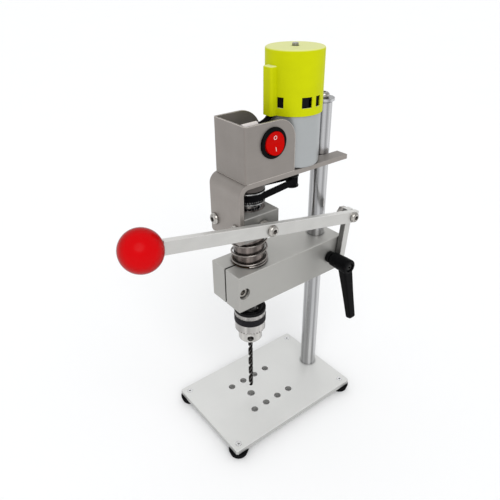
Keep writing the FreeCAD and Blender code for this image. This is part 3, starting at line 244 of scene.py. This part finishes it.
def blasted_metal(name, colour, roughness, metallic=0.6, grain=2.2, mottle=0.05, side_shade=1.0,
                  shelter=4.0, hidden=0.0):
    """Anodised or bead-blasted aluminium: fine grain with broad faint clouds, painted shade on side
    faces and in hollows, and a painted highlight along edges.
    """
    graph = Graph(name)
    fine = graph.noise((grain, grain, grain), detail=4)
    cloud = graph.noise((0.035, 0.035, 0.035), detail=3, seed=2)
    base = graph.blended(graph.ranged(cloud, 0, 1), shade(colour, 1 - mottle), colour)
    speck = graph.ranged(fine, 0, 0.10)
    base = graph.blended(speck, base, shade(colour, 0.86))
    # painted shade: upright faces and undersides darkened below the tops
    base = graph.blended(graph.upward(), shade(colour, side_shade), base)
    # painted shade: near black deep in sockets and gaps, from an ambient occlusion mask
    base = graph.blended(graph.recess_shade(shelter, hidden), shade(colour, 0.03), base)
    # painted highlight: the edges lightened to 1.35 of the colour
    rim = graph.maths("MULTIPLY", graph.edges(0.25), 0.5)
    graph.fill(
        graph.shader,
        Base_Color=graph.blended(rim, base, shade(colour, 1.35)),
        Metallic=metallic,
        Roughness=graph.ranged(cloud, roughness - 0.05, roughness + 0.06),
        Normal=graph.bumped(fine, 0.012, below=graph.eased(0.3)),
    )
    return graph.material


def brushed_metal(name, colour, roughness, along, metallic=0.7, streak=0.10, front_shade=0.0,
                  side_shade=1.0, cut=0.35, bare_and_glint_edge=1.6):
    """Metal with fine parallel lines along one axis, light cut edges that are partly uncoated metal
    and partly a painted highlight, painted shade on side faces and, if asked, on the front face.
    """
    graph = Graph(name)
    lines = graph.noise(drawn_along(along, 3.4, 0.045), detail=5, roughness=0.65)
    bands = graph.noise(drawn_along(along, 0.7, 0.02), detail=2, seed=4)
    smudge = graph.noise((0.06, 0.06, 0.06), detail=3, seed=9)
    both = graph.maths("MULTIPLY", graph.ranged(lines, 0, 1), graph.ranged(bands, 0.5, 1))
    base = graph.blended(both, shade(colour, 1 - streak), colour)
    base = graph.blended(graph.ranged(smudge, 0, 0.12), base, shade(colour, 0.5))
    rough = graph.maths("ADD", graph.ranged(lines, roughness - 0.05, roughness + 0.05),
                        graph.ranged(smudge, -0.04, 0.05))
    side = graph.add("ShaderNodeSeparateXYZ")
    graph.link(graph.facing, side.inputs["Vector"])
    # painted shade: faces that look to the front, towards -Y, darkened to 0.15 of the colour
    front = graph.maths("MULTIPLY", graph.ranged(side.outputs["Y"], 1, 0, -0.9, -0.6), front_shade)
    base = graph.blended(front, base, shade(colour, 0.15))
    # painted shade: upright faces and undersides darkened below the tops
    base = graph.blended(graph.upward(), graph.tinted(base, side_shade), base)
    # light edges: partly cut metal, partly a painted highlight
    rim = graph.maths("MULTIPLY", graph.edges(cut), 0.7)
    graph.fill(
        graph.shader,
        Base_Color=graph.blended(rim, base, shade(colour, bare_and_glint_edge)),
        Metallic=metallic,
        Roughness=rough,
        Normal=graph.bumped(lines, 0.006, below=graph.eased(0.3)),
    )
    return graph.material


def turned_metal(name, colour, roughness, metallic=0.85, strips=0.0, shelter=2.5,
                 open_at=0.85):
    """Metal with the fine rings that a lathe or a grinder leaves round its axis, with painted
    reflection strips and painted shade in sockets.
    """
    graph = Graph(name)
    rings = graph.noise((0.05, 0.05, 4.0), detail=3)
    smudge = graph.noise((0.09, 0.09, 0.05), detail=3, seed=6)
    base = graph.blended(graph.ranged(rings, 0, 1), shade(colour, 0.94), colour)
    # painted reflections: upright dark strips set by the direction a face looks in
    reflection_mask = graph.maths("MULTIPLY", graph.painted_reflection_strips(1.7), strips)
    base = graph.blended(reflection_mask, base, shade(colour, 0.10))
    # painted shade: near black deep in sockets and gaps, from an ambient occlusion mask
    sunk_shade = graph.recess_shade(shelter, open_at=open_at)
    base = graph.blended(sunk_shade, shade(colour, 0.03), base)
    rough = graph.maths("ADD", graph.ranged(rings, roughness - 0.03, roughness + 0.03),
                        graph.ranged(smudge, -0.03, 0.05))
    graph.fill(
        graph.shader,
        Base_Color=base,
        Metallic=metallic,
        Roughness=rough,
        Normal=graph.bumped(rings, 0.004, below=graph.eased(0.15)),
    )
    return graph.material


def polished_metal(name, colour, roughness, drawn=0.02, strips=0.0, seed=0.0):
    """Chrome or bright ground steel: nearly smooth, with faint lengthways drawing marks and painted
    reflection strips.
    """
    graph = Graph(name)
    drawn_lines = graph.noise((1.6, 1.6, 0.03), detail=4)
    smudge = graph.noise((0.08, 0.08, 0.04), detail=4, seed=3)
    base = graph.blended(graph.ranged(drawn_lines, 0, 1), shade(colour, 1 - drawn), colour)
    # painted reflections: upright dark strips set by the direction a face looks in
    reflection_mask = graph.maths("MULTIPLY", graph.painted_reflection_strips(seed), strips)
    graph.fill(
        graph.shader,
        Base_Color=graph.blended(reflection_mask, base, shade(colour, 0.12)),
        Metallic=1.0,
        Roughness=graph.ranged(smudge, roughness, roughness + 0.07),
        Normal=graph.bumped(drawn_lines, 0.0015),
    )
    return graph.material


def black_oxide(name, colour, roughness, wear_and_glint=0.6, width=0.2):
    """Blackened steel, light along its sharp edges: partly worn through to steel, partly a painted
    highlight.
    """
    graph = Graph(name)
    patches = graph.noise((0.5, 0.5, 0.5), detail=4)
    # light edges: partly worn through to steel, partly a painted highlight
    bare_and_glint_edge = graph.maths("MULTIPLY", graph.edges(width), graph.ranged(patches, wear_and_glint * 0.5, wear_and_glint))
    base = graph.blended(graph.ranged(patches, 0, 1), shade(colour, 0.7), colour)
    graph.fill(
        graph.shader,
        Base_Color=graph.blended(bare_and_glint_edge, base, (0.65, 0.64, 0.63)),
        Metallic=1.0,
        Roughness=graph.ranged(patches, roughness - 0.06, roughness + 0.08),
        Normal=graph.bumped(graph.noise((4, 4, 4), detail=2), 0.003),
    )
    return graph.material


def moulded_plastic(name, colour, roughness, grain=2.5, depth=0.010, cloud=0.06, gloss=0.08,
                    top_light=0.0, rim=0.0):
    """Moulded plastic: a fine grained skin with faint flow clouds in its colour.

    Painted light: the faces that look up are paled towards a light cream, and rim paints a dark
    shade on the outline that the eye sees.
    """
    graph = Graph(name)
    skin = graph.noise((grain, grain, grain), detail=3)
    flow = graph.noise((0.05, 0.05, 0.09), detail=3, distortion=0.6, seed=5)
    base = graph.blended(graph.ranged(flow, 0, 1), shade(colour, 1 - cloud), colour)
    # painted light: faces that look up are paled towards cream
    top_light_mask = graph.maths("MULTIPLY", graph.upward(), top_light)
    # painted shade: a dark outline where the surface turns away from the eye
    base = graph.blended(graph.glancing(rim), base, shade(colour, 0.2))
    graph.fill(
        graph.shader,
        Base_Color=graph.blended(top_light_mask, base, (0.93, 0.93, 0.72)),
        Roughness=graph.ranged(flow, roughness - 0.03, roughness + 0.05),
        Normal=graph.bumped(skin, depth),
        Specular_IOR_Level=gloss,
    )
    return graph.material


def rubber(name, colour, roughness=0.75):
    """Matt rubber with a dust-flecked, slightly uneven skin."""
    graph = Graph(name)
    dust = graph.noise((0.3, 0.3, 0.3), detail=5)
    skin = graph.noise((3, 3, 3), detail=2, seed=3)
    base = graph.blended(graph.ranged(dust, 0, 0.4), colour, shade(colour, 2.0))
    graph.fill(
        graph.shader,
        Base_Color=base,
        Roughness=graph.ranged(dust, roughness - 0.05, roughness + 0.08),
        Normal=graph.bumped(skin, 0.012),
        Specular_IOR_Level=0.03,
    )
    return graph.material


def round_axis(graph, centre):
    """The angle round a vertical axis and the height in millimetres, for knurls."""
    split = graph.add("ShaderNodeSeparateXYZ")
    graph.link(graph.stretched((1, 1, 1), centre), split.inputs["Vector"])
    angle = graph.maths("ARCTAN2", split.outputs["Y"], split.outputs["X"])
    return angle, split.outputs["Z"]


def knurled_rubber(name, colour, centre, ribs):
    """A rubber ring with fine upright ribs round it, the grooves between them darkened as painted
    shade.
    """
    graph = Graph(name)
    angle, _ = round_axis(graph, centre)
    wave = graph.maths("SINE", graph.maths("MULTIPLY", angle, float(ribs)))
    ridge = graph.ranged(wave, 0, 1, -1, 1)
    # painted shade: the grooves between the ribs at half the colour
    graph.fill(
        graph.shader,
        Base_Color=graph.blended(ridge, shade(colour, 0.5), colour),
        Roughness=0.6,
        Normal=graph.bumped(ridge, 0.15),
        Specular_IOR_Level=0.15,
    )
    return graph.material


def knurled_steel(name, colour, centre, low, high, lines):
    """Bright steel with crossed knurling on one band between two heights, painted shade in its
    grooves and painted reflection strips.
    """
    graph = Graph(name)
    angle, height = round_axis(graph, centre)
    slope = lines / KNURL_RADIUS
    crossed = []
    for sign in (1, -1):
        turn = graph.maths("MULTIPLY", angle, float(lines))
        climb = graph.maths("MULTIPLY", height, slope * sign)
        crossed.append(graph.maths("SINE", graph.maths("ADD", turn, climb)))
    diamond = graph.ranged(graph.maths("MINIMUM", *crossed), 0, 1, -1, 0.6)
    above = graph.ranged(height, 0, 1, low, low + 0.3)
    under = graph.ranged(height, 1, 0, high - 0.3, high)
    band = graph.maths("MULTIPLY", above, under)
    pattern = graph.maths("MULTIPLY", diamond, band)
    smudge = graph.noise((0.09, 0.09, 0.09), detail=3)
    knurl = graph.blended(pattern, colour, shade(colour, 0.8))
    # painted shade: dark brown deep in the knurl grooves, from an ambient occlusion mask
    knurl = graph.blended(graph.recess_shade(2.0), (0.05, 0.035, 0.02), knurl)
    # painted reflections: upright dark strips set by the direction a face looks in
    reflection_mask = graph.maths("MULTIPLY", graph.painted_reflection_strips(5.0), 0.45)
    graph.fill(
        graph.shader,
        Base_Color=graph.blended(reflection_mask, knurl, shade(colour, 0.12)),
        Metallic=1.0,
        Roughness=graph.ranged(smudge, 0.14, 0.24),
        Normal=graph.bumped(pattern, 0.12),
    )
    return graph.material


def enamelled_copper(name):
    """The armature: thin layers that run from dark iron to copper."""
    graph = Graph(name)
    sheets = graph.noise((0.02, 0.02, 2.5), detail=2)
    base = graph.blended(graph.ranged(sheets, 0, 1), (0.10, 0.06, 0.04), (0.42, 0.20, 0.10))
    graph.fill(
        graph.shader,
        Base_Color=base,
        Metallic=0.8,
        Roughness=0.45,
        Normal=graph.bumped(sheets, 0.05),
    )
    return graph.material


# ----------------------------------------------------- colours, linear, by finish

ALUMINIUM = (0.58, 0.57, 0.54)
PLATE = (0.79, 0.79, 0.77)
SHEET = (0.285, 0.26, 0.24)
BAR = (0.84, 0.83, 0.80)
STEEL = (0.55, 0.54, 0.53)
BRIGHT = (0.66, 0.66, 0.67)
BLACK = (0.0035, 0.0035, 0.004)
YELLOW_GREEN = (0.56, 0.60, 0.001)
RED = (0.60, 0.001, 0.003)

# the chuck's knurling goes round the spindle, from the grip ring to the sleeve's top
sleeve_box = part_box("chuck_sleeve")
spindle_centre = Vector((0, (sleeve_box[0].y + sleeve_box[1].y) / 2, 0))
grip_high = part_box("chuck_grip_ring")[1].z / MM
sleeve_high = sleeve_box[1].z / MM

# In these finishes the strip amounts set painted reflections, and the side amounts and shelter
# reaches set painted shade.
FINISHES = [
    # painted shade: the plate's side faces at 0.60 of its colour and its holes darkened
    (
        blasted_metal("plate_blasted", PLATE, 0.50, metallic=0.5, mottle=0.04, side_shade=0.60,
                      shelter=4, hidden=0.14),
        ["base_plate"],
    ),
    (rubber("foot_rubber", BLACK), ["rubber_feet"]),
    (
        polished_metal("column_bright", (0.60, 0.60, 0.61), 0.20, drawn=0.12, strips=0.55, seed=2.3),
        ["column", "column_disc"],
    ),
    (
        blasted_metal("arm_milled", ALUMINIUM, 0.46, grain=1.6, mottle=0.13, side_shade=0.68),
        ["arm_block"],
    ),
    # painted shade: the quill block takes the arm's aluminium at three quarters, a shaded copy of
    # the same metal
    (
        blasted_metal("block_milled", shade(ALUMINIUM, 0.75), 0.46, grain=1.6, mottle=0.08,
                      side_shade=0.6),
        ["quill_block"],
    ),
    (
        brushed_metal("bar_brushed", BAR, 0.40, "y", side_shade=0.72),
        ["lever_bar"],
    ),
    # painted shade: the link bar's front face and side faces darkened
    (
        brushed_metal("link_brushed", BAR, 0.40, "z", front_shade=0.8, side_shade=0.72),
        ["link_bar"],
    ),
    (
        brushed_metal("bracket_brushed", shade(SHEET, 1.12), 0.44, "y", metallic=0.6),
        ["motor_bracket"],
    ),
    # light cut edges on the housing: partly uncoated metal, mostly a painted highlight near white
    (
        brushed_metal("housing_brushed", SHEET, 0.44, "y", metallic=0.6, cut=0.9,
                      bare_and_glint_edge=3.4),
        ["switch_housing"],
    ),
    (
        turned_metal("quill_ground", (0.30, 0.255, 0.235), 0.26, strips=0.75),
        ["quill_tube"],
    ),
    (
        turned_metal("spindle_ground", STEEL, 0.22, strips=0.6),
        ["spindle", "spindle_nut", "motor_shaft"],
    ),
    # painted shade: the bearing collar is made dark grey to stand for the shade under the bracket
    (
        turned_metal("collar_dark", (0.085, 0.075, 0.07), 0.34),
        ["bearing_collar"],
    ),
    # painted shade: the motor pulley's body is made black for the shade round it, and its light
    # edges are a painted highlight
    (
        black_oxide("pulley_dark", (0.010, 0.010, 0.010), 0.36, wear_and_glint=0.3),
        ["motor_pulley"],
    ),
    (
        turned_metal("pulley_turned", (0.66, 0.66, 0.66), 0.20, strips=0.8, shelter=4),
        ["spindle_pulley"],
    ),
    (
        turned_metal("bushing_bronze", (0.30, 0.18, 0.08), 0.38),
        ["quill_bushing"],
    ),
    (
        turned_metal("screw_bright", (0.66, 0.63, 0.59), 0.22, strips=0.6),
        ["column_base_screw", "column_top_screw", "bracket_screws",
         "motor_screws", "housing_screws", "lever_pivot_screw", "link_bolt", "link_nut",
         "link_pivot_screw", "column_spring_washer", "clamp_stud", "quill_clamp_screw",
         "lever_spacer"],
    ),
    (
        turned_metal("screw_plated", (0.88, 0.88, 0.88), 0.25, shelter=1.5),
        ["foot_screws"],
    ),
    (
        black_oxide("screw_black", (0.020, 0.020, 0.020), 0.38),
        ["spindle_pulley_screw", "clamp_handle_screw"],
    ),
    (
        polished_metal("spring_wire", (0.42, 0.385, 0.36), 0.22, strips=0.7, seed=7.0),
        ["return_spring"],
    ),
    (
        moulded_plastic("handle_nylon", BLACK, 0.40, depth=0.02, gloss=0.05),
        ["clamp_handle"],
    ),
    (
        polished_metal("bearing_bright", BRIGHT, 0.10, strips=0.5),
        ["bearing_outer_rings", "bearing_inner_rings", "bearing_balls"],
    ),
    (rubber("belt_rubber", BLACK, 0.7), ["drive_belt"]),
    (
        turned_metal("can_plated", (0.385, 0.40, 0.405), 0.36, metallic=0.5),
        ["motor_can"],
    ),
    (blasted_metal("ferrite", (0.05, 0.05, 0.05), 0.6), ["motor_magnets"]),
    (enamelled_copper("copper_core"), ["armature"]),
    (moulded_plastic("cap_black", BLACK, 0.45), ["motor_end_cap"]),
    (
        polished_metal("terminal_tinned", (0.50, 0.46, 0.38), 0.28),
        ["lead_terminals"],
    ),
    # painted light: the cover's faces that look up are paled towards cream
    (
        moulded_plastic("cover_moulded", YELLOW_GREEN, 0.50, grain=1.8, depth=0.02,
                        gloss=0.06, top_light=0.45),
        ["motor_cover"],
    ),
    (
        moulded_plastic("switch_black", BLACK, 0.28, gloss=0.04),
        ["switch_body"],
    ),
    (
        moulded_plastic("rocker_red", (0.50, 0.002, 0.001), 0.22, depth=0.004, gloss=0.03),
        ["switch_rocker"],
    ),
    (
        moulded_plastic("mark_white", (0.85, 0.75, 0.72), 0.4, cloud=0.02),
        ["rocker_marks"],
    ),
    (rubber("lead_black", BLACK, 0.5), ["motor_leads"]),
    (
        moulded_plastic("sleeve_pale", (0.86, 0.80, 0.81), 0.5, cloud=0.30),
        ["lead_sleeve"],
    ),
    # painted shade: the knob's outline is darkened where its surface turns away from the eye
    (
        moulded_plastic("knob_red", RED, 0.16, grain=0.8, depth=0.001, cloud=0.03,
                        gloss=0.06, rim=0.85),
        ["ball_knob"],
    ),
    (
        turned_metal("chuck_body_bright", (0.70, 0.68, 0.65), 0.22, strips=0.35, shelter=6,
                     open_at=0.55),
        ["chuck_body", "chuck_jaw_1", "chuck_jaw_2", "chuck_jaw_3"],
    ),
    (
        knurled_steel("chuck_sleeve_bright", (0.60, 0.58, 0.56), spindle_centre,
                      grip_high, sleeve_high, 90),
        ["chuck_sleeve"],
    ),
    (moulded_plastic("chuck_ring_black", BLACK, 0.35), ["chuck_top_ring"]),
    (
        knurled_rubber("grip_rubber", (0.008, 0.007, 0.010), spindle_centre, 72),
        ["chuck_grip_ring"],
    ),
    (
        black_oxide("drill_black", (0.014, 0.012, 0.011), 0.24, wear_and_glint=2.2, width=0.40),
        ["drill_bit"],
    ),
]


def dress():
    """Gives every CAD node its material, and stops if one is left without."""
    for material, names in FINISHES:
        for name in names:
            mesh = nodes[name].data
            mesh.materials.clear()
            mesh.materials.append(material)
    undressed = set(nodes) - {name for _, names in FINISHES for name in names}
    if undressed:
        raise ValueError("no material for {}".format(sorted(undressed)))


# ---------------------------------------------------------------- return spring


def make_coil():
    """A copy of the return spring, standing on the arm's body in place of the CAD node, which is
    hidden.
    """
    spring = nodes["return_spring"]
    coil = bpy.data.objects.new("return_spring_coil", spring.data.copy())
    bpy.context.scene.collection.objects.link(coil)
    coil.matrix_world = spring.matrix_world.copy()
    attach(coil, "arm")
    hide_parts("return_spring")
    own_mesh(coil)


# ---------------------------------------------------------- floor, light, camera


def make_floor():
    """A pale seamless floor under the feet."""
    mesh = bpy.data.meshes.new("floor")
    corners = [(x * FLOOR_HALF, y * FLOOR_HALF) for x, y in ((-1, -1), (1, -1), (1, 1), (-1, 1))]
    level = cad_box[0][2]
    mesh.from_pydata([(x, y, level) for x, y in corners], [], [(0, 1, 2, 3)])
    floor = bpy.data.objects.new("floor", mesh)
    bpy.context.scene.collection.objects.link(floor)
    graph = Graph("floor_paint")
    cloud = graph.noise((0.004, 0.004, 0.004), detail=3)
    graph.fill(
        graph.shader,
        Base_Color=graph.blended(cloud, (0.92, 0.92, 0.92), (0.94, 0.94, 0.94)),
        Roughness=0.7,
        Emission_Color=(1.0, 1.0, 1.0, 1.0),
        Emission_Strength=0.04,
    )
    mesh.materials.append(graph.material)


def soft_sun(name, azimuth, height, strength, spread):
    """A broad distant light: azimuth 0 stands behind the operator, 90 on the lever side."""
    light = bpy.data.lights.new(name, "SUN")
    light.energy = strength
    light.angle = math.radians(spread)
    lamp = bpy.data.objects.new(name, light)
    turn, rise = math.radians(azimuth), math.radians(height)
    toward = Vector((
        math.sin(turn) * math.cos(rise),
        -math.cos(turn) * math.cos(rise),
        math.sin(rise),
    ))
    lamp.rotation_euler = toward.to_track_quat("Z", "Y").to_euler()
    bpy.context.scene.collection.objects.link(lamp)


def light_studio():
    """One broad light from the lever side, in a grey surround that shows as white."""
    soft_sun("key", azimuth=60, height=46, strength=1.15, spread=45)
    world = bpy.data.worlds.new("studio")
    bpy.context.scene.world = world
    world.use_nodes = True
    tree = world.node_tree
    surround = tree.nodes["Background"]
    surround.inputs["Color"].default_value = (0.98, 0.99, 1.0, 1.0)
    seen = tree.nodes.new("ShaderNodeMapRange")
    path = tree.nodes.new("ShaderNodeLightPath")
    tree.links.new(path.outputs["Is Camera Ray"], seen.inputs["Value"])
    seen.inputs["To Min"].default_value = LIT_STRENGTH
    seen.inputs["To Max"].default_value = SEEN_STRENGTH
    tree.links.new(seen.outputs["Result"], surround.inputs["Strength"])


def make_camera():
    """The camera to the right of the front, above the motor, looking down."""
    at = Vector((306.7, -253.4, 397.7)) * MM
    yaw, pitch, roll = (math.radians(angle) for angle in (52.55, 30.18, -0.76))
    ahead = Vector((
        -math.sin(yaw) * math.cos(pitch),
        math.cos(yaw) * math.cos(pitch),
        -math.sin(pitch),
    ))
    level_right = ahead.cross(Vector((0, 0, 1))).normalized()
    level_up = level_right.cross(ahead)
    right = level_right * math.cos(roll) + level_up * math.sin(roll)
    up = level_up * math.cos(roll) - level_right * math.sin(roll)
    lens = bpy.data.cameras.new("camera")
    lens.sensor_width = SENSOR_WIDTH
    lens.lens = SENSOR_WIDTH * FOCAL_SHARE
    lens.clip_start = 0.01
    camera = bpy.data.objects.new("camera", lens)
    turn = Matrix((right, up, -ahead)).transposed()
    camera.matrix_world = Matrix.Translation(at) @ turn.to_4x4()
    bpy.context.scene.collection.objects.link(camera)
    bpy.context.scene.camera = camera


dress()
make_coil()
make_floor()
light_studio()
make_camera()
bpy.context.scene.view_settings.view_transform = "Standard"
